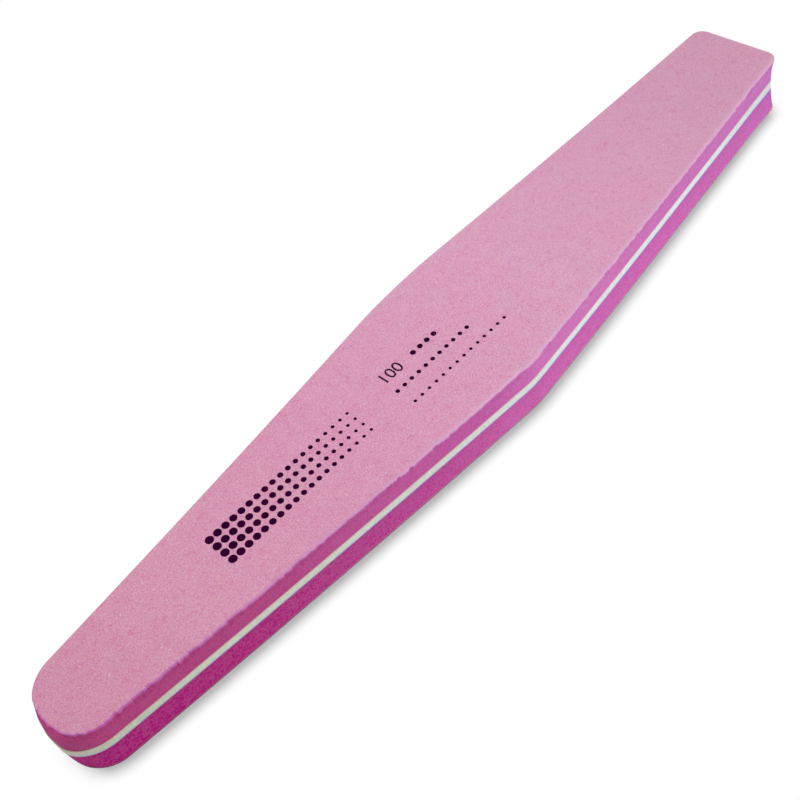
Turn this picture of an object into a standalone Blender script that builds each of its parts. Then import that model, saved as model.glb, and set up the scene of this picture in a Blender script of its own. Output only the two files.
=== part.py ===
# Sponge nail file: a long diamond of two foam pads on a stiff core, with a coated abrasive sheet on each face.
# Metres, +Z up. +X runs to the square end and -X to the rounded end.
# The origin is under the middle of the file, on the face that it lies on.

import math

import bmesh
import bpy
from mathutils import Vector

# Plan of the two faces, its corners before they are rounded. The widest point lies a little to +X of the middle.
LENGTH = 0.178
WIDEST = 0.0315
WIDEST_OFFSET = 0.0024
ROUNDED_END_WIDTH = 0.0141
SQUARE_END_WIDTH = 0.0178
ROUNDED_END_RADIUS_LEFT = 0.0074
ROUNDED_END_RADIUS_RIGHT = 0.0061
SQUARE_END_RADIUS = 0.0023
SIDE_CORNER_RADIUS_LEFT = 0.110
SIDE_CORNER_RADIUS_RIGHT = 0.018

# How far both tips stand to +Y of the middle, because the file has taken a slight bend
SIDEWAYS_SET = 0.00144

# Thickness of each layer
COARSE_GRIT = 0.00015
FINE_GRIT = 0.00010
BACKING_PAPER = 0.00022
GLUE_FILM = 0.00010
FOAM = 0.00395
CORE = 0.0017

# How far the flanks are drawn in at mid height, where the die squeezed the foam
FLANK_DRAW = 0.0005
# How far the foam stands out instead at the rounded tip, and the core beyond the foam there
TIP_BULGE = 0.0005
CORE_PROUD = 0.0001
# How narrowly that is kept to the tip: the power of the cosine of the direction from it
TIP_FOCUS = 3

# Fineness of the mesh
LONG_EDGE_STEPS = 8
SIDE_CORNER_STEPS = 6
ROUNDED_END_STEPS = 10
SQUARE_END_STEPS = 6
FLANK_STEPS = 6
SHARP_ANGLE = math.radians(40)

# The most of a straight edge that one rounded corner may take, so that two corners never meet
CORNER_REACH_SHARE = 0.49

# Colours
PINK_GRIT = (0.63, 0.29, 0.42)
LILAC_PAPER = (0.80, 0.62, 0.78)
CLEAR_GLUE = (0.78, 0.70, 0.74)
VIOLET_FOAM = (0.50, 0.10, 0.34)
DEEP_FOAM = (0.45, 0.04, 0.27)
WHITE_CORE = (0.72, 0.74, 0.68)


def clear_scene():
    for thing in list(bpy.data.objects):
        bpy.data.objects.remove(thing, do_unlink=True)


def rounded_corner(before, corner, after, radius, steps):
    """Points along the arc that rounds a corner, from the edge that comes in to the edge that goes out."""
    back = before - corner
    ahead = after - corner
    half_angle = back.angle(ahead) / 2
    reach = min(radius / math.tan(half_angle), CORNER_REACH_SHARE * min(back.length, ahead.length))
    radius = reach * math.tan(half_angle)
    middle = (back.normalized() + ahead.normalized()).normalized()
    centre = corner + middle * (radius / math.sin(half_angle))
    start = corner + back.normalized() * reach - centre
    turn = start.angle_signed(corner + ahead.normalized() * reach - centre)
    points = []
    for step in range(steps + 1):
        angle = turn * step / steps
        cos, sin = math.cos(angle), math.sin(angle)
        # Vector.angle_signed counts a clockwise turn as positive
        turned = Vector((start.x * cos + start.y * sin, start.y * cos - start.x * sin))
        points.append(centre + turned)
    return points


def straight_edge(start, end, steps):
    """Points between the two ends of a straight edge, without the ends."""
    return [start.lerp(end, step / steps) for step in range(1, steps)]


def side_of_plan(side, rounded_end_radius, side_corner_radius):
    """Points from the middle of the rounded end round one side (+1 is +Y) to the middle of the square end."""
    half = LENGTH / 2
    rounded_end = Vector((-half, side * ROUNDED_END_WIDTH / 2))
    widest = Vector((WIDEST_OFFSET, side * WIDEST / 2))
    square_end = Vector((half, side * SQUARE_END_WIDTH / 2))
    across_rounded = Vector((-half, -rounded_end.y))
    across_square = Vector((half, -square_end.y))
    first = rounded_corner(across_rounded, rounded_end, widest, rounded_end_radius, ROUNDED_END_STEPS)
    second = rounded_corner(rounded_end, widest, square_end, side_corner_radius, SIDE_CORNER_STEPS)
    third = rounded_corner(widest, square_end, across_square, SQUARE_END_RADIUS, SQUARE_END_STEPS)
    points = [Vector((-half, 0))] + first + straight_edge(first[-1], second[0], LONG_EDGE_STEPS)
    points += second + straight_edge(second[-1], third[0], LONG_EDGE_STEPS) + third + [Vector((half, 0))]
    return [bent(point) for point in points]


def bent(point):
    """The point, moved sideways by the file's slight bend, and along it so that the tip's bulge is counted in."""
    share = point.x / (LENGTH / 2)
    return Vector((point.x + (TIP_BULGE + CORE_PROUD) / 2, point.y + SIDEWAYS_SET * share * share))


def plan_ring():
    """The outline, counter-clockwise from the rounded tip, with the outward direction at each point."""
    right = side_of_plan(-1, ROUNDED_END_RADIUS_RIGHT, SIDE_CORNER_RADIUS_RIGHT)
    left = side_of_plan(1, ROUNDED_END_RADIUS_LEFT, SIDE_CORNER_RADIUS_LEFT)
    points = right + left[-2:0:-1]
    outward = []
    for index, point in enumerate(points):
        along = points[(index + 1) % len(points)] - points[index - 1]
        outward.append(Vector((along.y, -along.x)).normalized())
    return points, outward, len(right)


def tip_share(direction):
    """1 where the flank faces straight out of the rounded tip, falling to 0 round the corners."""
    return max(0.0, -direction.x) ** TIP_FOCUS


def foam_draw(height, total, direction):
    """How far the flank is drawn in at a height: nothing at the two faces, the most at mid height."""
    share = 2 * height / total - 1
    most = FLANK_DRAW - (FLANK_DRAW + TIP_BULGE) * tip_share(direction)
    return most * (1 - share * share)


def core_draw(height, total, direction):
    """The core plate and the glue on it have straight flanks, which stand a little proud at the rounded tip."""
    return foam_draw(total / 2, total, direction) - CORE_PROUD * tip_share(direction)


def face_draw(height, total, direction):
    """The sheets on the two faces are cut square at the full outline."""
    return 0.0


def layer_mesh(name, heights, total, draw):
    """A closed layer with one ring of the outline at each height."""
    points, outward, right_count = plan_ring()
    shape = bmesh.new()
    rings = []
    for height in heights:
        ring = []
        for point, direction in zip(points, outward):
            place = point - direction * draw(height, total, direction)
            ring.append(shape.verts.new((place.x, place.y, height)))
        rings.append(ring)
    count = len(points)
    for lower, upper in zip(rings, rings[1:]):
        for index in range(count):
            after = (index + 1) % count
            shape.faces.new((lower[index], lower[after], upper[after], upper[index]))
    cover(shape, rings[-1], right_count, True)
    cover(shape, rings[0], right_count, False)
    mesh = bpy.data.meshes.new(name)
    shape.to_mesh(mesh)
    shape.free()
    mesh.shade_smooth()
    mesh.set_sharp_from_angle(angle=SHARP_ANGLE)
    return mesh


def cover(shape, ring, right_count, faces_up):
    """Closes a ring with one face across the file for each pair of points on its two sides."""
    right = ring[:right_count]
    left = [ring[0]] + ring[:right_count - 2:-1]
    for index in range(right_count - 1):
        corners = [right[index], right[index + 1], left[index + 1], left[index]]
        corners = [corner for place, corner in enumerate(corners) if corner not in corners[:place]]
        shape.faces.new(corners if faces_up else corners[::-1])


def finish(name, colour, roughness):
    material = bpy.data.materials.new(name)
    material.use_nodes = True
    shader = material.node_tree.nodes["Principled BSDF"]
    shader.inputs["Base Color"].default_value = (*colour, 1)
    shader.inputs["Roughness"].default_value = roughness
    shader.inputs["Metallic"].default_value = 0
    return material


# Layers from the lower face to the upper one: node, thickness, flank steps, flank, colour, roughness
LAYERS = (
    ("lower_grit_coat", FINE_GRIT, 1, face_draw, PINK_GRIT, 0.9),
    ("lower_backing_sheet", BACKING_PAPER, 1, face_draw, LILAC_PAPER, 0.8),
    ("lower_outer_glue", GLUE_FILM, 1, face_draw, CLEAR_GLUE, 0.4),
    ("lower_foam_pad", FOAM, FLANK_STEPS, foam_draw, DEEP_FOAM, 0.85),
    ("lower_inner_glue", GLUE_FILM, 1, core_draw, CLEAR_GLUE, 0.4),
    ("core_plate", CORE, 1, core_draw, WHITE_CORE, 0.45),
    ("upper_inner_glue", GLUE_FILM, 1, core_draw, CLEAR_GLUE, 0.4),
    ("upper_foam_pad", FOAM, FLANK_STEPS, foam_draw, VIOLET_FOAM, 0.85),
    ("upper_outer_glue", GLUE_FILM, 1, face_draw, CLEAR_GLUE, 0.4),
    ("upper_backing_sheet", BACKING_PAPER, 1, face_draw, LILAC_PAPER, 0.8),
    ("upper_grit_coat", COARSE_GRIT, 1, face_draw, PINK_GRIT, 0.9),
)


def build_file():
    holder = bpy.data.objects.new("sponge_nail_file", None)
    bpy.context.scene.collection.objects.link(holder)
    total = sum(layer[1] for layer in LAYERS)
    bottom = 0.0
    for name, thickness, steps, draw, colour, roughness in LAYERS:
        top = bottom + thickness
        heights = [bottom + thickness * step / steps for step in range(steps)] + [top]
        layer = bpy.data.objects.new(name, layer_mesh(name, heights, total, draw))
        layer.data.materials.append(finish(name, colour, roughness))
        layer.parent = holder
        bpy.context.scene.collection.objects.link(layer)
        bottom = top


clear_scene()
build_file()
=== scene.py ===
# Nail file: two foam pads on a stiff core, with an abrasive sheet glued on each face
import math
import random

import bmesh
import bpy
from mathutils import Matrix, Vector, kdtree


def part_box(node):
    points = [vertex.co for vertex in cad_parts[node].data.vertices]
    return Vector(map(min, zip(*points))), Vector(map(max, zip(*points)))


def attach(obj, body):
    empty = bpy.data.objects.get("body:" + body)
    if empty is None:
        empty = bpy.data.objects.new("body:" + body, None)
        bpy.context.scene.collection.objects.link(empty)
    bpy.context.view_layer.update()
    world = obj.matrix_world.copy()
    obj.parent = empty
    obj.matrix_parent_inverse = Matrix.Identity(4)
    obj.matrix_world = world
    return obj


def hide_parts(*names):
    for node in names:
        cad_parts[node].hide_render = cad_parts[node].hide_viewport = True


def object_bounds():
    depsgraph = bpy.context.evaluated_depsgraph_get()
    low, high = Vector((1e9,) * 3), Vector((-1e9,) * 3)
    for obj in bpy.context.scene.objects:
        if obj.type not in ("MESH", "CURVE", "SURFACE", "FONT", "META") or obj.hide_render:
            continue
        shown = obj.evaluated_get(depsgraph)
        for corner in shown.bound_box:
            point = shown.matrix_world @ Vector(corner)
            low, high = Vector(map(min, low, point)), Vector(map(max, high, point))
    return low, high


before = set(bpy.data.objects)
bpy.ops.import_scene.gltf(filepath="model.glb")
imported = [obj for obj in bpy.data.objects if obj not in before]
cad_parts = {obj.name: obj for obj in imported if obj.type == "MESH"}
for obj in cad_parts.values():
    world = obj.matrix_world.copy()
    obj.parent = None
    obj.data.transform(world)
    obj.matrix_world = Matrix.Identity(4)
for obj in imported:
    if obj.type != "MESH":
        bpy.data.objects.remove(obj)        # bodies, nodes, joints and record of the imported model
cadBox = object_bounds()
bpy.ops.object.select_all(action="DESELECT")

hair = 0.000002        # places closer than this count as the same
crispAngle = 50        # degrees between two faces from which their edge stays crisp
uprightStretch = 1000        # how much an upright texture is drawn out in height
fileHigh = cadBox[1]
faceLow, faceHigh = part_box("upper_grit_coat")
print("frame loaded")


# Selecting and shaping by hand

def pick(kind, test):
    # selects the parts of the open mesh that pass the test, and counts them
    bpy.ops.mesh.select_mode(type=kind)
    bpy.ops.mesh.select_all(action="DESELECT")
    mesh = bpy.context.object.data
    shape = bmesh.from_edit_mesh(mesh)
    parts = {"VERT": shape.verts, "EDGE": shape.edges, "FACE": shape.faces}[kind]
    chosen = [part for part in parts if test(part)]
    for part in chosen:
        part.select_set(True)
    shape.select_flush_mode()
    bmesh.update_edit_mesh(mesh)
    return len(chosen)


def editOn():
    bpy.ops.object.mode_set(mode="EDIT")


def editOff():
    bpy.ops.object.mode_set(mode="OBJECT")


def makeActive(piece):
    bpy.ops.object.select_all(action="DESELECT")
    piece.select_set(True)
    bpy.context.view_layer.objects.active = piece


def displace(piece, strength, group="", texture=None, middle=0.0, upright=False):
    # pushes the surface out along its normals, then fixes it; upright repeats the texture at every height
    if upright:
        bpy.ops.object.empty_add()
        space = bpy.context.object
        space.scale.z = uprightStretch
        bpy.context.view_layer.update()
    makeActive(piece)
    bpy.ops.object.modifier_add(type="DISPLACE")
    push = piece.modifiers[-1]
    push.strength = strength
    push.mid_level = middle
    push.vertex_group = group
    if texture:
        push.texture = texture
        push.texture_coords = "OBJECT" if upright else "LOCAL"
        push.texture_coords_object = space if upright else None
    bpy.ops.object.modifier_apply(modifier=push.name)
    if upright:
        bpy.data.objects.remove(space)


def cloudTexture(name, size, depth=2):
    texture = bpy.data.textures.new(name, "CLOUDS")
    texture.noise_scale = size
    texture.noise_depth = depth
    return texture


# The outline that the die cuts through every layer

plan = {
    "length": faceHigh.x - faceLow.x,
    "middleX": (faceHigh.x + faceLow.x) / 2,
    "widest": 0.0315,
    "widestX": 0.0024,
    "roundedEndWidth": 0.0141,
    "squareEndWidth": 0.0178,
    "roundedRadiusLeft": 0.0074,
    "roundedRadiusRight": 0.0061,
    "squareRadius": 0.0023,
    "sideRadiusLeft": 0.110,
    "sideRadiusRight": 0.018,
    "sidewaysSet": 0.00144,        # how far both tips stand to +Y, a slight bend
    "reachShare": 0.49,        # the most of an edge that one rounded corner takes
    "roundedSteps": 28,
    "sideSteps": 18,
    "squareSteps": 14,
    "pitch": 0.00033,        # longest stretch of outline between two points
}


def cornerReach(before, corner, after, radius):
    back, ahead = before - corner, after - corner
    longest = plan["reachShare"] * min(back.length, ahead.length)
    return min(radius / math.tan(back.angle(ahead) / 2), longest)


def cutOutline(name, z):
    # a plane pulled to six corners, rounded, then only its edge kept
    half = plan["length"] / 2
    bpy.ops.mesh.primitive_plane_add(size=1, location=(0, 0, z))
    piece = bpy.context.object
    piece.name = name
    editOn()
    bpy.ops.transform.resize(value=(plan["length"], plan["widest"], 1))
    bpy.ops.mesh.bisect(plane_co=(plan["widestX"], 0, z), plane_no=(1, 0, 0))
    for side, width in ((-1, plan["roundedEndWidth"]), (1, plan["squareEndWidth"])):
        pick("VERT", lambda vertex: vertex.co.x * side > half / 2)
        bpy.ops.transform.resize(value=(1, width / plan["widest"], 1), center_override=(side * half, 0, z))
    pick("EDGE", lambda edge: not edge.is_boundary)
    bpy.ops.mesh.dissolve_edges(use_verts=False)
    for side, label in ((1, "Left"), (-1, "Right")):
        rounded = Vector((-half, side * plan["roundedEndWidth"] / 2))
        widest = Vector((plan["widestX"], side * plan["widest"] / 2))
        square = Vector((half, side * plan["squareEndWidth"] / 2))
        acrossRounded = Vector((rounded.x, -rounded.y))
        acrossSquare = Vector((square.x, -square.y))
        for before, corner, after, radius, steps in (
            (acrossRounded, rounded, widest, plan["roundedRadius" + label], plan["roundedSteps"]),
            (rounded, widest, square, plan["sideRadius" + label], plan["sideSteps"]),
            (widest, square, acrossSquare, plan["squareRadius"], plan["squareSteps"]),
        ):
            pick("VERT", lambda vertex: (vertex.co.xy - corner).length < hair)
            reach = cornerReach(before, corner, after, radius)
            bpy.ops.mesh.bevel(affect="VERTICES", offset=reach, segments=steps, profile=0.5)
    bpy.ops.mesh.select_all(action="SELECT")
    bpy.ops.mesh.delete(type="ONLY_FACE")
    while pick("EDGE", lambda edge: edge.calc_length() > plan["pitch"]):
        bpy.ops.mesh.subdivide(number_cuts=1)
    editOff()
    bpy.ops.object.transform_apply(location=True, rotation=True, scale=True)
    for vertex in piece.data.vertices:
        share = vertex.co.x / half
        vertex.co.y += plan["sidewaysSet"] * share * share
        vertex.co.x += plan["middleX"]
    return piece


def raiseWall(piece, height, rows):
    # rows of faces straight up from the outline
    makeActive(piece)
    editOn()
    bpy.ops.mesh.select_mode(type="EDGE")
    bpy.ops.mesh.select_all(action="SELECT")
    for row in range(rows):
        bpy.ops.mesh.extrude_edges_move(TRANSFORM_OT_translate={"value": (0, 0, height / rows)})
    bpy.ops.mesh.select_all(action="SELECT")
    bpy.ops.mesh.normals_make_consistent(inside=False)
    editOff()


def closeEnds(piece):
    # one face across the lower end and one across the upper end
    makeActive(piece)
    heights = [vertex.co.z for vertex in piece.data.vertices]
    editOn()
    for level in (min(heights), max(heights)):
        pick("EDGE", lambda edge: edge.is_boundary and abs(edge.verts[0].co.z - level) < hair)
        bpy.ops.mesh.edge_face_add()
    bpy.ops.mesh.select_all(action="SELECT")
    bpy.ops.mesh.normals_make_consistent(inside=False)
    editOff()


def finishPiece(piece, material, slot, *nodes):
    # smooth round the flank, crisp at the cut edges, and handed to the frame
    makeActive(piece)
    bpy.ops.object.shade_smooth_by_angle(angle=math.radians(crispAngle))
    piece.data.materials.clear()
    piece.data.materials.append(material)
    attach(piece, "root")
    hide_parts(*nodes)


# The flank: drawn in at mid height by the die, and standing out at the rounded tip

flank = {"drawnIn": 0.0005, "tipBulge": 0.0005, "coreProud": 0.0001, "tipFocus": 3}


def drawFlank(piece, straight=False):
    drawn = piece.vertex_groups.new(name="drawn")
    bulged = piece.vertex_groups.new(name="bulged")
    for vertex in piece.data.vertices:
        share = 0 if straight else 2 * vertex.co.z / fileHigh.z - 1
        tip = max(0, -vertex.normal.x) ** flank["tipFocus"]
        drawn.add([vertex.index], (1 - share * share) * (1 - tip), "REPLACE")
        bulged.add([vertex.index], (1 - share * share) * tip, "REPLACE")
    displace(piece, flank["drawnIn"], "drawn", middle=2.0)        # inwards by the whole strength
    displace(piece, flank["tipBulge"] + (flank["coreProud"] if straight else 0), "bulged")


# The lower half stands out at the -Y corner of the square end

foot = {
    "from": 0.055,
    "to": 0.085,
    "spread": 0.00036,
    "lateFrom": 0.080,        # where a little more is added, and how much
    "late": 0.00022,
    "stop": 0.0888,        # back to the outline at the very end
    "stopLength": 0.0022,
    "trim": 0.0005,        # how far the end itself is cut back at that corner
    "fade": 0.0075,        # height at which it has gone
}


def within(value, low, high):
    return min(1, max(0, (value - low) / (high - low)))


def spreadFoot(piece):
    for vertex in piece.data.vertices:
        place = vertex.co
        amount = foot["spread"] * within(place.x, foot["from"], foot["to"])
        amount += foot["late"] * within(place.x, foot["lateFrom"], foot["to"])
        amount *= within(place.x, foot["stop"], foot["stop"] - foot["stopLength"])
        across = within(place.y, plan["sidewaysSet"], plan["sidewaysSet"] - plan["squareEndWidth"] / 2)
        low = across * max(0, 1 - (place.z / foot["fade"]) ** 2)
        place.y -= amount * low
        place.x -= foot["trim"] * low * within(place.x, foot["stop"] - foot["stopLength"], foot["stop"])


# The edges of the upper sheet, nibbled by the die on the side towards -Y and the rounded tip

nibbled = {
    "towards": (-0.65, -0.76, 0),
    "sideSoft": 0.4,        # how squarely a side has to face that way to be nibbled in full
    "step": 0.0045,        # length of the steps, and their depth
    "stepDepth": 0.00024,
    "tick": 0.0009,        # the same for the small steps between them
    "tickDepth": 0.00024,
    "rag": 0.0005,        # size of the finer raggedness, and its depth
    "ragDepth": 0.00030,
    "stepMiddle": 1.0,        # value of the texture that moves nothing, so the steps only cut inwards
    "ragMiddle": 0.6,
    "lowerMiddle": 0.5,
    "calmFrom": -0.035,        # less nibbled from here on, and not at all at the square end
    "calmAt": -0.005,
    "calm": 0.50,
    "tickCalm": 0.95,        # the same for the small steps
    "endsFrom": 0.080,
    "endsAt": 0.087,
    "lowerDepth": 0.00004,        # raggedness of the lower sheets
    "reach": 0.0011,        # how far down the foam it goes
}


def sideShare(normal):
    # 1 on the side that is nibbled, 0 on the other
    return within(normal.dot(Vector(nibbled["towards"])), 0, nibbled["sideSoft"])


def lengthShare(x, calm):
    # how strongly it is nibbled along the file
    calmed = 1 - (1 - calm) * within(x, nibbled["calmFrom"], nibbled["calmAt"])
    return calmed * within(x, nibbled["endsAt"], nibbled["endsFrom"])


def nibble(piece, upper, reach=None):
    heights = [vertex.co.z for vertex in piece.data.vertices]
    top = max(heights)
    for name, calm in (("nibbled", nibbled["calm"]), ("ticked", nibbled["tickCalm"])):
        group = piece.vertex_groups.new(name=name)
        for vertex in piece.data.vertices:
            share = sideShare(vertex.normal) * lengthShare(vertex.co.x, calm) if upper else 1
            if reach:
                share *= within(vertex.co.z, top - reach, top)
            group.add([vertex.index], share, "REPLACE")
    rag = cloudTexture("dieRag", nibbled["rag"], 1)
    if upper:
        for kind, group in (("step", "nibbled"), ("tick", "ticked")):
            steps = cloudTexture("dieSteps", nibbled[kind], 0)
            steps.noise_basis = "CELL_NOISE"
            displace(piece, nibbled[kind + "Depth"], group, steps, nibbled["stepMiddle"], upright=True)
        displace(piece, nibbled["ragDepth"], "nibbled", rag, nibbled["ragMiddle"], upright=True)
    else:
        displace(piece, nibbled["lowerDepth"], "nibbled", rag, nibbled["lowerMiddle"], upright=True)
    for vertex, height in zip(piece.data.vertices, heights):
        vertex.co.z = height        # the cut stays upright


# Node building

def addNode(tree, kind, inputs=None, **settings):
    node = tree.nodes.new(kind)
    for key, value in settings.items():
        setattr(node, key, value)
    for key, value in (inputs or {}).items():
        if isinstance(value, bpy.types.NodeSocket):
            tree.links.new(value, node.inputs[key])
        else:
            node.inputs[key].default_value = value
    return node


def mixColour(tree, factor, first, second, blend="MIX"):
    node = addNode(tree, "ShaderNodeMix", data_type="RGBA", blend_type=blend)
    for place, value in ((0, factor), (6, first), (7, second)):
        if isinstance(value, bpy.types.NodeSocket):
            tree.links.new(value, node.inputs[place])
        else:
            node.inputs[place].default_value = (*value, 1) if place else value
    return node.outputs[2]


def multiplied(tree, colour, shares, factor=1.0):
    return mixColour(tree, factor, colour, shares, "MULTIPLY")


def combine(tree, operation, first, second):
    return addNode(tree, "ShaderNodeMath", {0: first, 1: second}, operation=operation).outputs[0]


def spread(tree, value, low, high, toLow=0.0, toHigh=1.0):
    inputs = {"Value": value, "From Min": low, "From Max": high, "To Min": toLow, "To Max": toHigh}
    return addNode(tree, "ShaderNodeMapRange", inputs, clamp=True).outputs["Result"]


def ramp(tree, value, stops):
    # a colour that runs through stops, each a place along the file and a colour
    low, high = stops[0][0], stops[-1][0]
    node = addNode(tree, "ShaderNodeValToRGB", {"Fac": spread(tree, value, low, high)})
    elements = node.color_ramp.elements
    elements[0].color = (*stops[0][1], 1)
    elements[1].color = (*stops[-1][1], 1)
    for place, colour in stops[1:-1]:
        elements.new((place - low) / (high - low)).color = (*colour, 1)
    return node.outputs["Color"]


def noise(tree, where, scale, detail=2.0, roughness=0.5):
    inputs = {"Vector": where, "Scale": scale, "Detail": detail, "Roughness": roughness}
    return addNode(tree, "ShaderNodeTexNoise", inputs).outputs["Fac"]


def axes(tree, where):
    return addNode(tree, "ShaderNodeSeparateXYZ", {"Vector": where}).outputs


def marked(tree, name):
    # a value that the mesh carries under this name
    return addNode(tree, "ShaderNodeAttribute", attribute_name=name).outputs["Fac"]


def newMaterial(name, roughness, shine=0.5):
    material = bpy.data.materials.new(name)
    material.use_nodes = True
    tree = material.node_tree
    shader = tree.nodes["Principled BSDF"]
    shader.inputs["Roughness"].default_value = roughness
    shader.inputs["Specular IOR Level"].default_value = shine
    where = addNode(tree, "ShaderNodeTexCoord").outputs["Object"]
    return material, tree, shader, where


def newGroup(name, inputs, outputs):
    tree = bpy.data.node_groups.new(name, "ShaderNodeTree")
    for socket, value in inputs:
        made = tree.interface.new_socket(socket, in_out="INPUT", socket_type="NodeSocketFloat")
        made.default_value = value
    for socket, kind in outputs:
        tree.interface.new_socket(socket, in_out="OUTPUT", socket_type=kind)
    given = tree.nodes.new("NodeGroupInput").outputs
    result = tree.nodes.new("NodeGroupOutput").inputs
    return tree, given, result


def useGroup(tree, group, **values):
    node = tree.nodes.new("ShaderNodeGroup")
    node.node_tree = group
    for key, value in values.items():
        node.inputs[key].default_value = value
    return node.outputs


# Effects that several finishes share. Each range is a stretch of a noise, and what it is spread over.

grainMarks = {
    "blotchDetail": (3.0, 0.6),        # detail and roughness of the noise
    "fleckDetail": (2.0, 0.6),
    "blotches": (0.32, 0.68),
    "grains": (0.3, 0.7),
    "flecks": (0.56, 0.70),
    "depth": 0.00004,        # height of the bump
}

cellMarks = {
    "cellDetail": (2.0, 0.6),
    "cloudDetail": (2.0, 0.55),
    "cells": (0.50, 0.62),
    "clouds": (0.35, 0.65),
    "pores": (0.20, 0.46, 1.0, 0.0),
    "crowdScale": 900.0,        # pores come in clusters
    "crowds": (0.40, 0.60, 0.30, 1.30),
    "depth": 0.00005,
}


def makeGrainGroup():
    # soft blotches, darker flecks, bright grains and the bump of the grit
    inputs = (("Blotch", 450.0), ("Grain", 3200.0), ("Fleck", 1100.0), ("Rise", 0.5))
    outputs = (("Blotches", "NodeSocketFloat"), ("Grains", "NodeSocketFloat"), ("Flecks", "NodeSocketFloat"),
               ("Normal", "NodeSocketVector"))
    tree, given, result = newGroup("grainField", inputs, outputs)
    where = addNode(tree, "ShaderNodeTexCoord").outputs["Object"]
    blotches = noise(tree, where, given["Blotch"], *grainMarks["blotchDetail"])
    grains = noise(tree, where, given["Grain"], 1.0)
    flecks = noise(tree, where, given["Fleck"], *grainMarks["fleckDetail"])
    inputs = {"Strength": given["Rise"], "Distance": grainMarks["depth"], "Height": grains}
    bump = addNode(tree, "ShaderNodeBump", inputs)
    tree.links.new(spread(tree, blotches, *grainMarks["blotches"]), result["Blotches"])
    tree.links.new(spread(tree, grains, *grainMarks["grains"]), result["Grains"])
    tree.links.new(spread(tree, flecks, *grainMarks["flecks"]), result["Flecks"])
    tree.links.new(bump.outputs["Normal"], result["Normal"])
    return tree


def makeCellGroup():
    # the cut cells of the foam: dark openings, soft clouding and their bump
    inputs = (("Cell", 2600.0), ("Cloud", 500.0), ("Pore", 1700.0), ("Rise", 0.4))
    outputs = (("Cells", "NodeSocketFloat"), ("Clouds", "NodeSocketFloat"), ("Pores", "NodeSocketFloat"),
               ("Normal", "NodeSocketVector"))
    tree, given, result = newGroup("foamCells", inputs, outputs)
    where = addNode(tree, "ShaderNodeTexCoord").outputs["Object"]
    cells = noise(tree, where, given["Cell"], *cellMarks["cellDetail"])
    clouds = noise(tree, where, given["Cloud"], *cellMarks["cloudDetail"])
    pores = addNode(tree, "ShaderNodeTexVoronoi", {"Vector": where, "Scale": given["Pore"]}).outputs["Distance"]
    inputs = {"Strength": given["Rise"], "Distance": cellMarks["depth"], "Height": cells}
    bump = addNode(tree, "ShaderNodeBump", inputs)
    tree.links.new(spread(tree, cells, *cellMarks["cells"]), result["Cells"])
    tree.links.new(spread(tree, clouds, *cellMarks["clouds"]), result["Clouds"])
    crowding = spread(tree, noise(tree, where, cellMarks["crowdScale"], 1.0), *cellMarks["crowds"])
    opened = spread(tree, pores, *cellMarks["pores"])
    tree.links.new(combine(tree, "MULTIPLY", opened, crowding), result["Pores"])
    tree.links.new(bump.outputs["Normal"], result["Normal"])
    return tree


grainField = makeGrainGroup()
foamCells = makeCellGroup()


# Finishes

gritLook = {
    # partly the coat's own tone and partly painted shade: darker towards both ends, where less light falls on the
    # face
    "along": (
        (-0.088, (0.600, 0.255, 0.378)),
        (-0.075, (0.618, 0.268, 0.396)),
        (-0.062, (0.640, 0.288, 0.420)),
        (-0.035, (0.650, 0.288, 0.430)),
        (-0.008, (0.660, 0.305, 0.460)),
        (0.018, (0.668, 0.330, 0.478)),
        (0.045, (0.645, 0.312, 0.460)),
        (0.065, (0.610, 0.303, 0.438)),
        (0.088, (0.590, 0.290, 0.415)),
    ),
    "blotchShare": 0.15,        # how much each kind of marking counts in the tone, from deep to pale
    "grainShare": 0.85,
    "deep": (0.90, 0.66, 0.78),        # shares of the colour along the file
    "pale": (1.10, 1.34, 1.22),
    "evenFrom": 0.005,        # where the grain's contrast falls off towards the square end, and to what
    "evenTo": 0.045,
    "even": 0.65,
    "hueScale": 0.6,        # share of the grain's scale
    "hueRange": (0.35, 0.65),
    "cream": (1.01, 1.06, 0.96),
    "lilac": (0.99, 0.95, 1.04),
    "patchScale": 160.0,
    "patchRange": (0.38, 0.62),
    "warm": (1.008, 0.988, 0.996),
    "cool": (0.992, 1.015, 1.008),
    "fleck": (0.95, 0.58, 0.84),
    "sparkle": (0.88, 0.72, 0.80),
    "sparkleRange": (0.2, 1.0, 0.0, 0.8),
    "bandFrom": 0.62,        # where in the rim its pale band starts at the rounded end, and where it is full
    "bandTo": 0.95,
    "bandStrength": 0.9,
    "rimNear": (0.44, 0.06, 0.39),
    "rimFar": (0.69, 0.39, 0.60),
    "cutNear": (0.53, 0.08, 0.45),        # the cut side itself
    "cutFar": (0.68, 0.38, 0.60),
    # painted contact shade: the dark grey at the fine coat's rim and at the foot of the lower paper, where the file
    # meets the floor
    "contactShadeNear": (0.30, 0.08, 0.16),
    "contactShadeFar": (0.22, 0.20, 0.21),
    "roughness": 0.85,
    "coarse": (450.0, 4200.0, 0.50),        # scale of the blotches and of the grains, strength of the flecks
    "fine": (600.0, 5200.0, 0.25),
    "nearX": -0.085,
    "farX": -0.010,
}


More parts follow.
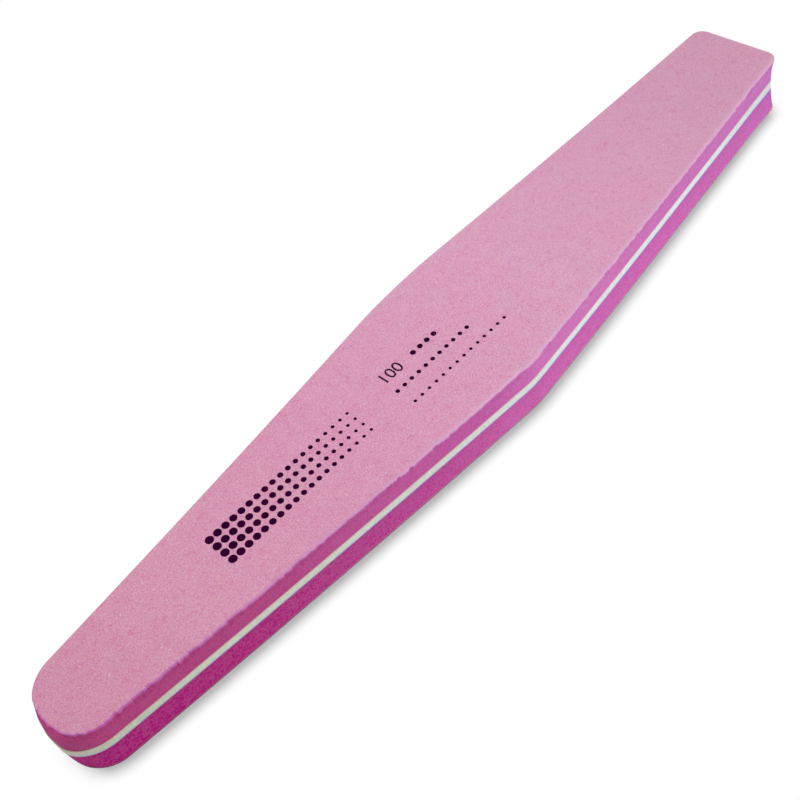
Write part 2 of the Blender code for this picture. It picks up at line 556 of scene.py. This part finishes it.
def gritFinish(name, blotch, grain, fleckStrength, rimNear, rimFar):
    material, tree, shader, where = newMaterial(name, gritLook["roughness"])
    field = useGroup(tree, grainField, Blotch=blotch, Grain=grain)
    along = axes(tree, where)["X"]
    grains = combine(tree, "MULTIPLY", field["Grains"], gritLook["grainShare"])
    tone = combine(tree, "ADD", combine(tree, "MULTIPLY", field["Blotches"], gritLook["blotchShare"]), grains)
    contrast = spread(tree, along, gritLook["evenFrom"], gritLook["evenTo"], 1.0, gritLook["even"])
    tones = mixColour(tree, tone, gritLook["deep"], gritLook["pale"])
    # the colour along the file carries painted shade, darker towards both ends
    colour = multiplied(tree, ramp(tree, along, gritLook["along"]), tones, contrast)
    hue = spread(tree, noise(tree, where, grain * gritLook["hueScale"], 1.0), *gritLook["hueRange"])
    colour = multiplied(tree, colour, mixColour(tree, hue, gritLook["cream"], gritLook["lilac"]))
    patch = spread(tree, noise(tree, where, gritLook["patchScale"], 2.0), *gritLook["patchRange"])
    colour = multiplied(tree, colour, mixColour(tree, patch, gritLook["warm"], gritLook["cool"]))
    flecks = combine(tree, "MULTIPLY", field["Flecks"], fleckStrength)
    colour = mixColour(tree, flecks, colour, multiplied(tree, colour, gritLook["fleck"]))
    fade = spread(tree, along, gritLook["nearX"], gritLook["farX"])
    inner = spread(tree, fade, 0.0, 1.0, gritLook["bandFrom"], 0.0)        # the pale band widens to the square end
    inputs = {"Value": marked(tree, "rim"), "From Min": inner, "From Max": gritLook["bandTo"]}
    band = addNode(tree, "ShaderNodeMapRange", inputs).outputs["Result"]
    band = combine(tree, "MULTIPLY", band, gritLook["bandStrength"])
    colour = mixColour(tree, band, colour, mixColour(tree, fade, rimNear, rimFar))
    cutSide = mixColour(tree, fade, gritLook["cutNear"], gritLook["cutFar"])
    colour = mixColour(tree, marked(tree, "cutSide"), colour, cutSide)
    sparkle = spread(tree, marked(tree, "brightGrain"), *gritLook["sparkleRange"])
    colour = mixColour(tree, sparkle, colour, gritLook["sparkle"])
    tree.links.new(colour, shader.inputs["Base Color"])
    tree.links.new(field["Normal"], shader.inputs["Normal"])
    return material


foamLook = {
    "upper": {
        # partly the foam's own colour and partly painted shade and light: darker and deeper magenta up to the widest
        # corner, lighter on the facet beyond it, which faces the light
        "along": (
            (-0.085, (0.550, 0.082, 0.262)),
            (-0.050, (0.538, 0.087, 0.281)),
            (-0.030, (0.585, 0.120, 0.358)),
            (-0.008, (0.585, 0.123, 0.397)),
            (0.006, (0.641, 0.187, 0.484)),
            (0.025, (0.635, 0.193, 0.468)),
            (0.050, (0.592, 0.173, 0.468)),
            (0.088, (0.574, 0.193, 0.484)),
        ),
        "nearCell": (0.98, 0.50, 0.86),        # shares of that colour in the cut cells
        "farCell": (0.99, 0.74, 0.94),
        "clouds": 0.32,        # how much each kind of marking shows
        "cells": 0.55,
        "pores": 0.22,
        "nearBoost": 1.0,        # how much stronger they are at the rounded end
        "cellScale": 2400.0,
        "cellRise": 0.2,        # strength of the cells' bump
        "hem": 0.0,
        "paintedShade": None,
    },
    "lower": {
        # partly the foam's own colour and partly painted shade and light: darker and deeper magenta up to the widest
        # corner, lighter on the facet beyond it, which faces the light
        "along": (
            (-0.085, (0.575, 0.063, 0.293)),
            (-0.060, (0.585, 0.075, 0.298)),
            (-0.040, (0.588, 0.097, 0.335)),
            (-0.020, (0.620, 0.112, 0.385)),
            (-0.003, (0.673, 0.159, 0.465)),
            (0.015, (0.670, 0.156, 0.485)),
            (0.055, (0.650, 0.163, 0.480)),
            (0.088, (0.600, 0.163, 0.505)),
        ),
        "nearCell": (0.92, 0.00, 0.80),
        "farCell": (0.99, 0.72, 0.91),
        "clouds": 0.25,
        "cells": 0.40,
        "pores": 0.98,
        "nearBoost": 1.7,
        "cellScale": 2800.0,
        "cellRise": 0.3,
        "hem": 0.00052,        # height up to which the lower pad is pressed to a bright line
        "paintedShade": (0.0010, 0.0040, (1.05, 1.08, 1.04), (0.925, 0.90, 0.92)),        # painted shade: lighter at the foot of the lower pad and darker towards its top; two heights, the shares at each
    },
    "hemSoft": 0.0001,
    "hemNear": (0.57, 0.05, 0.28),
    "hemFar": (0.82, 0.25, 0.62),
    "grainScale": 3600.0,        # the fine grain that all cells have
    "grainRange": (0.35, 0.65),
    "dull": (0.91, 0.88, 0.91),        # shares of the colour in it
    "bright": (1.08, 1.10, 1.08),
    "roughness": 0.8,
    "shine": 0.1,        # share of the usual surface reflection
    "fadeFrom": -0.080,
    "fadeTo": 0.008,
}


def foamFinish(name, look):
    material, tree, shader, where = newMaterial(name, foamLook["roughness"], foamLook["shine"])
    cells = useGroup(tree, foamCells, Cell=look["cellScale"], Rise=look["cellRise"])
    place = axes(tree, where)
    fade = spread(tree, place["X"], foamLook["fadeFrom"], foamLook["fadeTo"])
    # partly painted shade and light: the flank darker up to the widest corner and lighter beyond it
    skin = ramp(tree, place["X"], look["along"])
    opened = multiplied(tree, skin, mixColour(tree, fade, look["nearCell"], look["farCell"]))
    clouds = combine(tree, "MULTIPLY", cells["Clouds"], look["clouds"])
    mottle = combine(tree, "ADD", clouds, combine(tree, "MULTIPLY", cells["Cells"], look["cells"]))
    mottle = combine(tree, "ADD", mottle, combine(tree, "MULTIPLY", cells["Pores"], look["pores"]))
    mottle = combine(tree, "MULTIPLY", mottle, spread(tree, fade, 0.0, 1.0, look["nearBoost"], 1.0))
    colour = mixColour(tree, mottle, skin, opened)
    grain = spread(tree, noise(tree, where, foamLook["grainScale"], 1.0), *foamLook["grainRange"])
    colour = multiplied(tree, colour, mixColour(tree, grain, foamLook["dull"], foamLook["bright"]))
    # painted shade up the lower pad: lighter at its foot, darker towards its top
    if look["paintedShade"]:
        low, high, below, above = look["paintedShade"]
        colour = multiplied(tree, colour, mixColour(tree, spread(tree, place["Z"], low, high), below, above))
    if look["hem"]:
        hem = mixColour(tree, fade, foamLook["hemNear"], foamLook["hemFar"])
        low, high = look["hem"] - foamLook["hemSoft"], look["hem"] + foamLook["hemSoft"]
        colour = mixColour(tree, spread(tree, place["Z"], low, high), hem, colour)
    tree.links.new(colour, shader.inputs["Base Color"])
    tree.links.new(cells["Normal"], shader.inputs["Normal"])
    return material


coreLook = {
    # partly the plastic's own colour and partly painted shade: darker and yellower towards the rounded end, and a
    # little darker at the square end
    "along": (
        (-0.085, (0.670, 0.680, 0.550)),
        (-0.066, (0.765, 0.790, 0.625)),
        (-0.040, (0.750, 0.770, 0.660)),
        (-0.018, (0.760, 0.780, 0.710)),
        (0.004, (0.765, 0.800, 0.790)),
        (0.020, (0.790, 0.815, 0.805)),
        (0.055, (0.770, 0.805, 0.815)),
        (0.088, (0.725, 0.750, 0.770)),
    ),
    "streakNoise": (900.0, 3.0, 0.6),        # scale, detail and roughness
    "streakRange": (0.50, 0.75, 0.0, 0.45),
    "speck": (0.58, 0.60, 0.58),
    "beadScale": 2300.0,
    "beadRange": (0.35, 0.65),
    "dull": (0.92, 0.93, 0.90),        # shares of the colour among the beads of the plastic
    "bright": (1.06, 1.06, 1.07),
    "upperStain": (0.60, 0.44, 0.35),        # glue that has run into the two margins
    "lowerStain": (0.42, 0.34, 0.76),
    "stainMost": 0.85,
    "sootScale": 1300.0,
    "sootRange": (0.72, 0.78, 0.0, 0.6),
    "soot": (0.34, 0.35, 0.33),        # a few grey specks
    "upperMargin": 0.00037,
    "lowerMargin": 0.00029,
    "roughness": 0.5,
    "shine": 0.3,
    "bumpStrength": 0.3,
    "bumpDepth": 0.00004,
}


def coreFinish():
    material, tree, shader, where = newMaterial("polystyreneCore", coreLook["roughness"], coreLook["shine"])
    place = axes(tree, where)
    # painted shade: the core darker and yellower towards the rounded end
    colour = ramp(tree, place["X"], coreLook["along"])
    streaks = noise(tree, where, *coreLook["streakNoise"])
    colour = mixColour(tree, spread(tree, streaks, *coreLook["streakRange"]), colour, coreLook["speck"])
    beads = spread(tree, noise(tree, where, coreLook["beadScale"], 1.0), *coreLook["beadRange"])
    colour = multiplied(tree, colour, mixColour(tree, beads, coreLook["dull"], coreLook["bright"]))
    soot = spread(tree, noise(tree, where, coreLook["sootScale"], 1.0), *coreLook["sootRange"])
    colour = mixColour(tree, soot, colour, coreLook["soot"])
    low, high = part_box("core_plate")
    upper = spread(tree, place["Z"], high.z - coreLook["upperMargin"], high.z, 0.0, coreLook["stainMost"])
    colour = mixColour(tree, upper, colour, coreLook["upperStain"])
    lower = spread(tree, place["Z"], low.z, low.z + coreLook["lowerMargin"], coreLook["stainMost"], 0.0)
    colour = mixColour(tree, lower, colour, coreLook["lowerStain"])
    inputs = {"Strength": coreLook["bumpStrength"], "Distance": coreLook["bumpDepth"], "Height": streaks}
    bump = addNode(tree, "ShaderNodeBump", inputs)
    tree.links.new(colour, shader.inputs["Base Color"])
    tree.links.new(bump.outputs["Normal"], shader.inputs["Normal"])
    return material


stripLook = {
    "upperPaper": ((0.63, 0.10, 0.42), (0.64, 0.21, 0.53)),        # colour near the rounded end and far from it; the darker near colours are partly painted shade, as on the pads
    "lowerPaper": ((0.60, 0.07, 0.30), (0.90, 0.30, 0.68)),
    "tanGlue": ((0.44, 0.31, 0.19), (0.62, 0.42, 0.34)),
    "blueGlue": ((0.34, 0.20, 0.48), (0.35, 0.23, 0.80)),
    "upperGlue": ((0.64, 0.09, 0.35), (0.64, 0.19, 0.49)),
    "lowerGlue": ((0.60, 0.07, 0.30), (0.88, 0.28, 0.67)),
    "fadeRange": (-0.085, 0.005),
    "paperRoughness": 0.8,
    "glueRoughness": 0.6,
    "shine": 0.1,
    "fibreNoise": (2400.0, 3.0, 0.6),
    "fibreRange": (0.4, 0.7, 0.0, 0.15),
    "fibre": (0.9, 0.7, 0.9),
    "lineTop": 0.00028,        # height of the painted contact shade, a dark line at the foot of the lower paper
    "lineSoft": 0.00004,
}


def stripFinish(name, roughness, contactShaded=False):
    # the thin cut edge of a paper or a glue film
    material, tree, shader, where = newMaterial(name, roughness, stripLook["shine"])
    place = axes(tree, where)
    fade = spread(tree, place["X"], *stripLook["fadeRange"])
    # partly painted shade: darker towards the rounded end, as on the pads
    colour = mixColour(tree, fade, *stripLook[name])
    fibres = noise(tree, where, *stripLook["fibreNoise"])
    colour = mixColour(tree, spread(tree, fibres, *stripLook["fibreRange"]), colour, stripLook["fibre"])
    # painted contact shade: a dark line at the foot of the lower paper
    if contactShaded:
        line = mixColour(tree, fade, gritLook["contactShadeNear"], gritLook["contactShadeFar"])
        low, high = stripLook["lineTop"] - stripLook["lineSoft"], stripLook["lineTop"] + stripLook["lineSoft"]
        colour = mixColour(tree, spread(tree, place["Z"], low, high), line, colour)
    tree.links.new(colour, shader.inputs["Base Color"])
    return material


inkLook = {
    "poreNoise": (5200.0, 2.0, 0.6),
    "poreRange": (0.42, 0.74),
    "dark": (0.020, 0.0, 0.017),
    "light": (0.055, 0.003, 0.040),
    "roughness": 0.9,
}


def inkFinish():
    material, tree, shader, where = newMaterial("purpleInk", inkLook["roughness"], 0.0)
    pores = spread(tree, noise(tree, where, *inkLook["poreNoise"]), *inkLook["poreRange"])
    tree.links.new(mixColour(tree, pores, inkLook["dark"], inkLook["light"]), shader.inputs["Base Color"])
    return material


coarseGrit = gritFinish("coarseGrit", *gritLook["coarse"], gritLook["rimNear"], gritLook["rimFar"])
# the fine coat's rim is painted contact shade
fineGrit = gritFinish("fineGrit", *gritLook["fine"], gritLook["contactShadeNear"], gritLook["contactShadeFar"])
violetFoam = foamFinish("violetFoam", foamLook["upper"])
magentaFoam = foamFinish("magentaFoam", foamLook["lower"])
whiteCore = coreFinish()
upperPaper = stripFinish("upperPaper", stripLook["paperRoughness"])
lowerPaper = stripFinish("lowerPaper", stripLook["paperRoughness"], contactShaded=True)
tanGlue = stripFinish("tanGlue", stripLook["glueRoughness"])
blueGlue = stripFinish("blueGlue", stripLook["glueRoughness"])
upperGlue = stripFinish("upperGlue", stripLook["glueRoughness"])
lowerGlue = stripFinish("lowerGlue", stripLook["glueRoughness"])
purpleInk = inkFinish()
print("finishes made")


# Foam pads, with the fine relief of their cut cells

foam = {"rows": 26, "calmRows": 2, "cell": 0.00042, "relief": 0.00007}


def makeFoam(name, node, material, slot, nibbledTop):
    low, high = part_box(node)
    piece = cutOutline(name, low.z)
    raiseWall(piece, high.z - low.z, foam["rows"])
    drawFlank(piece)
    spreadFoot(piece)
    inner = piece.vertex_groups.new(name="cells")
    step = (high.z - low.z) / foam["rows"]
    for vertex in piece.data.vertices:
        fromEnd = min(vertex.co.z - low.z, high.z - vertex.co.z) / step
        inner.add([vertex.index], min(1, fromEnd / foam["calmRows"]), "REPLACE")
    displace(piece, foam["relief"], "cells", cloudTexture("foamCut", foam["cell"]), 0.5)
    if nibbledTop:
        nibble(piece, True, nibbled["reach"])
    closeEnds(piece)
    finishPiece(piece, material, slot, node)
    print("made", name)


makeFoam("lowerFoam", "lower_foam_pad", magentaFoam, "lower_foam", False)
makeFoam("upperFoam", "upper_foam_pad", violetFoam, "upper_foam", True)


# The core plate and the glue films, straight cut

core = {"rows": 8, "grain": 0.0006, "relief": 0.00004}


def makeCore():
    low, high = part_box("core_plate")
    piece = cutOutline("corePlate", low.z)
    raiseWall(piece, high.z - low.z, core["rows"])
    drawFlank(piece, straight=True)
    spreadFoot(piece)
    displace(piece, core["relief"], "", cloudTexture("coreCut", core["grain"]), 0.5)
    closeEnds(piece)
    finishPiece(piece, whiteCore, "core_plastic", "core_plate")
    print("made corePlate")


def makeGlue(name, node, material, atCore, nibbledEdge=False):
    low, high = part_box(node)
    piece = cutOutline(name, low.z)
    raiseWall(piece, high.z - low.z, 1)
    if atCore:
        drawFlank(piece, straight=True)
    spreadFoot(piece)
    if nibbledEdge:
        nibble(piece, True)
    closeEnds(piece)
    finishPiece(piece, material, "glue", node)


makeCore()
makeGlue("lowerInnerGlue", "lower_inner_glue", blueGlue, True)
makeGlue("upperInnerGlue", "upper_inner_glue", tanGlue, True)
makeGlue("lowerOuterGlue", "lower_outer_glue", lowerGlue, False)
makeGlue("upperOuterGlue", "upper_outer_glue", upperGlue, False, nibbledEdge=True)
print("made glue films")


# The backing sheets

def makeSheet(name, node, material, upper):
    low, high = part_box(node)
    piece = cutOutline(name, low.z)
    raiseWall(piece, high.z - low.z, 2)
    spreadFoot(piece)
    nibble(piece, upper)
    closeEnds(piece)
    finishPiece(piece, material, "backing_paper", node)


makeSheet("lowerSheet", "lower_backing_sheet", lowerPaper, False)
makeSheet("upperSheet", "upper_backing_sheet", upperPaper, True)
print("made backing sheets")


# The grit coats: a dense face of grains, cut by the same outline

coat = {
    "cell": 0.00023,        # distance between neighbouring grains
    "rimWidth": 0.0009,        # how far in the pale rim of the coarse coat reaches
    "contactShadeWidth": 0.00012,        # and the painted contact shade at the rim of the fine one
    "farRim": 0.2,        # share of the rim that shows on the side that isn't nibbled
    "pressWidth": 0.00035,        # how far in from the edge the face is pressed down
    "pressDepth": 0.00006,
    "brightShare": 0.0045,
    "brightRise": 0.00003,
    "level": 0.75,        # share of a grain's height that lies below the face
    "fine": (0.00003, 3),        # height of the grains, seed
    "coarse": (0.00005, 5),
    "steep": 0.5,        # the most that a face of the cut side looks up or down
    "lowerInset": 0.00003,        # the fine coat stops short of its sheet's edge
}


def makeDie(low, high, upper):
    # the outline as a prism that reaches past both sides of the coat
    thickness = high.z - low.z
    die = cutOutline("die", low.z - thickness)
    raiseWall(die, 3 * thickness, 1)
    spreadFoot(die)
    if not upper:
        displace(die, -coat["lowerInset"])
    nibble(die, upper)
    closeEnds(die)
    return die


def makeCoat(name, node, material, slot, facing, rise, seed):
    low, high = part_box(node)
    face, back = (high.z, low.z) if facing > 0 else (low.z, high.z)
    wide, long = plan["widest"], plan["length"] + coat["cell"]
    columns, rows = round(long / coat["cell"]), round(wide / coat["cell"])
    bpy.ops.mesh.primitive_grid_add(x_subdivisions=columns, y_subdivisions=rows, size=1,
                                    location=(plan["middleX"], 0, face))
    piece = bpy.context.object
    piece.name = name
    editOn()
    bpy.ops.transform.resize(value=(long, wide, 1))
    pick("EDGE", lambda edge: edge.is_boundary)
    bpy.ops.mesh.extrude_edges_move(TRANSFORM_OT_translate={"value": (0, 0, back - face)})
    bpy.ops.mesh.edge_face_add()
    bpy.ops.mesh.select_all(action="SELECT")
    bpy.ops.mesh.normals_make_consistent(inside=False)
    editOff()
    bpy.ops.object.transform_apply(location=True, rotation=True, scale=True)
    die = makeDie(low, high, facing > 0)
    makeActive(piece)
    bpy.ops.object.modifier_add(type="BOOLEAN")
    cut = piece.modifiers[-1]
    cut.operation = "INTERSECT"
    cut.solver = "MANIFOLD"
    cut.object = die
    bpy.ops.object.modifier_apply(modifier=cut.name)
    edge = kdtree.KDTree(len(die.data.vertices))
    for vertex in die.data.vertices:
        edge.insert((vertex.co.x, vertex.co.y, 0), vertex.index)
    edge.balance()
    sides = [sideShare(vertex.normal) for vertex in die.data.vertices]
    bpy.data.objects.remove(die)
    # the fine coat's rim is painted contact shade
    rimWidth = coat["rimWidth"] if facing > 0 else coat["contactShadeWidth"]
    chance = random.Random(seed)
    rim, bright = [], []
    for vertex in piece.data.vertices:
        isFace = abs(vertex.co.z - face) < hair
        nearest = edge.find((vertex.co.x, vertex.co.y, 0))
        distance = nearest[2]
        side = coat["farRim"] + (1 - coat["farRim"]) * sides[nearest[1]] if facing > 0 else 1
        pressed = max(0, 1 - distance / coat["pressWidth"])
        isBright = isFace and pressed == 0 and chance.random() < coat["brightShare"]
        rim.append(side * max(0, 1 - distance / rimWidth))
        bright.append(chance.random() if isBright else 0)
        if isFace:
            lift = rise * (chance.random() - coat["level"]) + (coat["brightRise"] if isBright else 0)
            vertex.co.z += facing * (lift * (1 - pressed) - coat["pressDepth"] * pressed * pressed)
    for label, values in (("rim", rim), ("brightGrain", bright)):
        piece.data.attributes.new(label, "FLOAT", "POINT").data.foreach_set("value", values)
    cutSide = [float(facing > 0 and abs(polygon.normal.z) < coat["steep"]) for polygon in piece.data.polygons]
    piece.data.attributes.new("cutSide", "FLOAT", "FACE").data.foreach_set("value", cutSide)
    finishPiece(piece, material, slot, node)
    print("made", name, len(piece.data.polygons), "faces")


makeCoat("lowerCoat", "lower_grit_coat", fineGrit, "fine_grit", -1, *coat["fine"])
makeCoat("upperCoat", "upper_grit_coat", coarseGrit, "coarse_grit", 1, *coat["coarse"])


# The print: a plain number and dots that run from coarse to fine

ink = {
    "above": 0.000030,        # only a few bright grains stand out of the ink
    "below": 0.000050,
    "turn": -2.0,        # degrees, and the place that it turns about
    "turnPlace": (-0.022, 0, 0),
    "fieldX": (-0.0530, -0.0225),
    "fieldY": (-0.0026, 0.0030),
    "fieldRows": 4,
    "fieldColumns": 19,
    "dotLargest": 0.00076,
    "dotSmallest": 0.00028,
    "dotSides": 18,
    "number": "100",
    "numberHeight": 0.0033,        # type size, whose digits come out about 2.4 mm tall
    "numberPlace": (-0.0146, 0.0020),
    "rowStarts": ((-0.0066, 0.0031), (-0.0142, -0.0006), (-0.0140, -0.0044)),
    "rowEnds": (-0.0006, 0.0030, 0.0090),
    "rowRadii": (0.00052, 0.00040, 0.00030),
    "rowGap": 0.0017,
}


def dropDot(pattern, place, radius):
    dot = pattern.copy()
    dot.data = pattern.data.copy()
    bpy.context.collection.objects.link(dot)
    dot.scale = (radius, radius, 1)
    dot.location = (place[0], place[1], 0)
    return dot


def makePrint():
    top, bottom = faceHigh.z + ink["above"], faceHigh.z - ink["below"]
    bpy.ops.mesh.primitive_circle_add(vertices=ink["dotSides"], radius=1, fill_type="NGON", location=(0, 0, bottom))
    pattern = bpy.context.object
    bpy.ops.object.transform_apply(location=True)
    editOn()
    bpy.ops.mesh.select_all(action="SELECT")
    bpy.ops.mesh.extrude_region_move(TRANSFORM_OT_translate={"value": (0, 0, top - bottom)})
    bpy.ops.mesh.select_all(action="SELECT")
    bpy.ops.mesh.normals_make_consistent(inside=False)
    editOff()
    marks = []
    for column in range(ink["fieldColumns"]):
        share = column / (ink["fieldColumns"] - 1)
        radius = ink["dotLargest"] + (ink["dotSmallest"] - ink["dotLargest"]) * share
        for row in range(ink["fieldRows"]):
            across = row / (ink["fieldRows"] - 1)
            x = ink["fieldX"][0] + (ink["fieldX"][1] - ink["fieldX"][0]) * share
            y = ink["fieldY"][0] + (ink["fieldY"][1] - ink["fieldY"][0]) * across
            marks.append(dropDot(pattern, (x, y), radius))
    for (x, y), end, radius in zip(ink["rowStarts"], ink["rowEnds"], ink["rowRadii"]):
        while x < end:
            marks.append(dropDot(pattern, (x, y), radius))
            x += ink["rowGap"]
    bpy.data.objects.remove(pattern)
    bpy.ops.object.text_add(location=(*ink["numberPlace"], (top + bottom) / 2))
    number = bpy.context.object
    number.data.body = ink["number"]
    number.data.size = ink["numberHeight"]
    number.data.extrude = (top - bottom) / 2
    bpy.ops.object.convert(target="MESH")
    marks.append(bpy.context.object)
    makeActive(marks[-1])
    for mark in marks:
        mark.select_set(True)
    bpy.ops.object.transform_apply(location=True, rotation=True, scale=True)
    bpy.ops.object.join()
    piece = bpy.context.object
    piece.name = "facePrint"
    editOn()
    bpy.ops.mesh.select_all(action="SELECT")
    bpy.ops.mesh.remove_doubles(threshold=hair / 4)
    turn = -math.radians(ink["turn"])
    bpy.ops.transform.rotate(value=turn, orient_axis="Z", center_override=ink["turnPlace"])
    bpy.ops.mesh.normals_make_consistent(inside=False)
    editOff()
    piece.data.materials.clear()
    piece.data.materials.append(purpleInk)
    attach(piece, "root")
    print("made print")


makePrint()


# Floor, lamps, world and camera

stageLook = {
    "floor": (0.93, 0.95, 0.94),
    "floorSize": 6,
    "floorLevel": -0.00002,
    "ambient": 0.15,
    "shadowReach": 0.0032,        # how far from the object its soft shadow goes
    "shadowSamples": 32,
    "shadowTowards": (0.15, 0.79, 0.60),
    "shadowDepth": 1.38,
    "shadowPower": 1.76,
    "shadowMost": 0.54,
    "tipShadow": (-0.0915, -0.0865),        # it fades out past the two ends
    "endShadow": (0.0900, 0.0840),
}


def seenStraight(tree):
    # 1 for rays that see the stage directly, in a reflection or through glass
    path = addNode(tree, "ShaderNodeLightPath").outputs
    passed = combine(tree, "MAXIMUM", path["Is Glossy Ray"], path["Is Transmission Ray"])
    return combine(tree, "MAXIMUM", path["Is Camera Ray"], passed)


def makeFloor():
    # lights the object as a pale floor does, and is seen as white with the object's soft grey shadow
    bpy.ops.mesh.primitive_plane_add(size=stageLook["floorSize"], location=(0, 0, stageLook["floorLevel"]))
    floor = bpy.context.object
    floor.name = "floor"
    material = bpy.data.materials.new("floorWhite")
    material.use_nodes = True
    tree = material.node_tree
    tree.nodes.clear()
    diffuse = addNode(tree, "ShaderNodeBsdfDiffuse", {"Color": (*stageLook["floor"], 1)})
    towards = addNode(tree, "ShaderNodeCombineXYZ", dict(zip("XYZ", stageLook["shadowTowards"])))
    inputs = {"Distance": stageLook["shadowReach"], "Normal": towards.outputs[0]}
    opened = addNode(tree, "ShaderNodeAmbientOcclusion", inputs, samples=stageLook["shadowSamples"]).outputs["AO"]
    hidden = combine(tree, "POWER", combine(tree, "SUBTRACT", 1.0, opened), stageLook["shadowPower"])
    dark = combine(tree, "MULTIPLY", hidden, stageLook["shadowDepth"])
    dark = combine(tree, "MINIMUM", dark, stageLook["shadowMost"])
    along = axes(tree, addNode(tree, "ShaderNodeTexCoord").outputs["Object"])["X"]
    for edge in ("tipShadow", "endShadow"):
        dark = combine(tree, "MULTIPLY", dark, spread(tree, along, *stageLook[edge]))
    bright = combine(tree, "SUBTRACT", 1.0, dark)
    seen = addNode(tree, "ShaderNodeEmission", {"Strength": bright})
    both = addNode(tree, "ShaderNodeMixShader", {0: seenStraight(tree), 1: diffuse.outputs[0], 2: seen.outputs[0]})
    addNode(tree, "ShaderNodeOutputMaterial", {"Surface": both.outputs[0]})
    floor.data.materials.append(material)


def makeWorld():
    world = bpy.data.worlds.new("studio")
    world.use_nodes = True
    bpy.context.scene.world = world
    tree = world.node_tree
    tree.nodes.clear()
    strength = spread(tree, seenStraight(tree), 0, 1, stageLook["ambient"], 1.0)
    sky = addNode(tree, "ShaderNodeBackground", {"Color": (1, 1, 1, 1), "Strength": strength})
    addNode(tree, "ShaderNodeOutputWorld", {"Surface": sky.outputs[0]})


lamps = {
    "key": {"type": "SUN", "place": (0, 0.105, 1), "aim": (0, 0, 0), "angle": 22, "power": 2.25, "colour": (1, 1, 1)},
    "overhead": {"type": "AREA", "place": (-0.005, 0.030, 0.29), "aim": (-0.005, 0, 0), "size": 0.11, "power": 0.10,
                 "colour": (1, 1, 1)},
    "side": {"type": "AREA", "place": (0.075, -0.21, 0.022), "aim": (0.06, 0, 0.004), "size": 0.06, "power": 0.19,
             "colour": (0.92, 0.98, 1.0)},
}


def makeLamp(name, lamp):
    bpy.ops.object.light_add(type=lamp["type"], location=lamp["place"])
    light = bpy.context.object
    light.name = name
    light.data.energy = lamp["power"]
    light.data.color = lamp["colour"]
    if lamp["type"] == "SUN":
        light.data.angle = math.radians(lamp["angle"])
    else:
        light.data.shape = "DISK"
        light.data.size = lamp["size"]
    towards = Vector(lamp["aim"]) - Vector(lamp["place"])
    light.rotation_euler = towards.to_track_quat("-Z", "Y").to_euler()


view = {
    "place": (-0.098162, -0.113912, 0.173089),
    "turn": (39.4994, 9.9140, -48.3786),
    "lens": 59.2845,
    "sensor": 36,
    "nearest": 0.01,
}


def makeCamera():
    bpy.ops.object.camera_add(location=view["place"], rotation=[math.radians(angle) for angle in view["turn"]])
    camera = bpy.context.object
    camera.name = "camera"
    camera.data.lens = view["lens"]
    camera.data.sensor_width = view["sensor"]
    camera.data.clip_start = view["nearest"]
    bpy.context.scene.camera = camera


makeFloor()
makeWorld()
for lampName, lampValues in lamps.items():
    makeLamp(lampName, lampValues)
makeCamera()
bpy.context.scene.view_settings.view_transform = "Standard"
print("stage set")
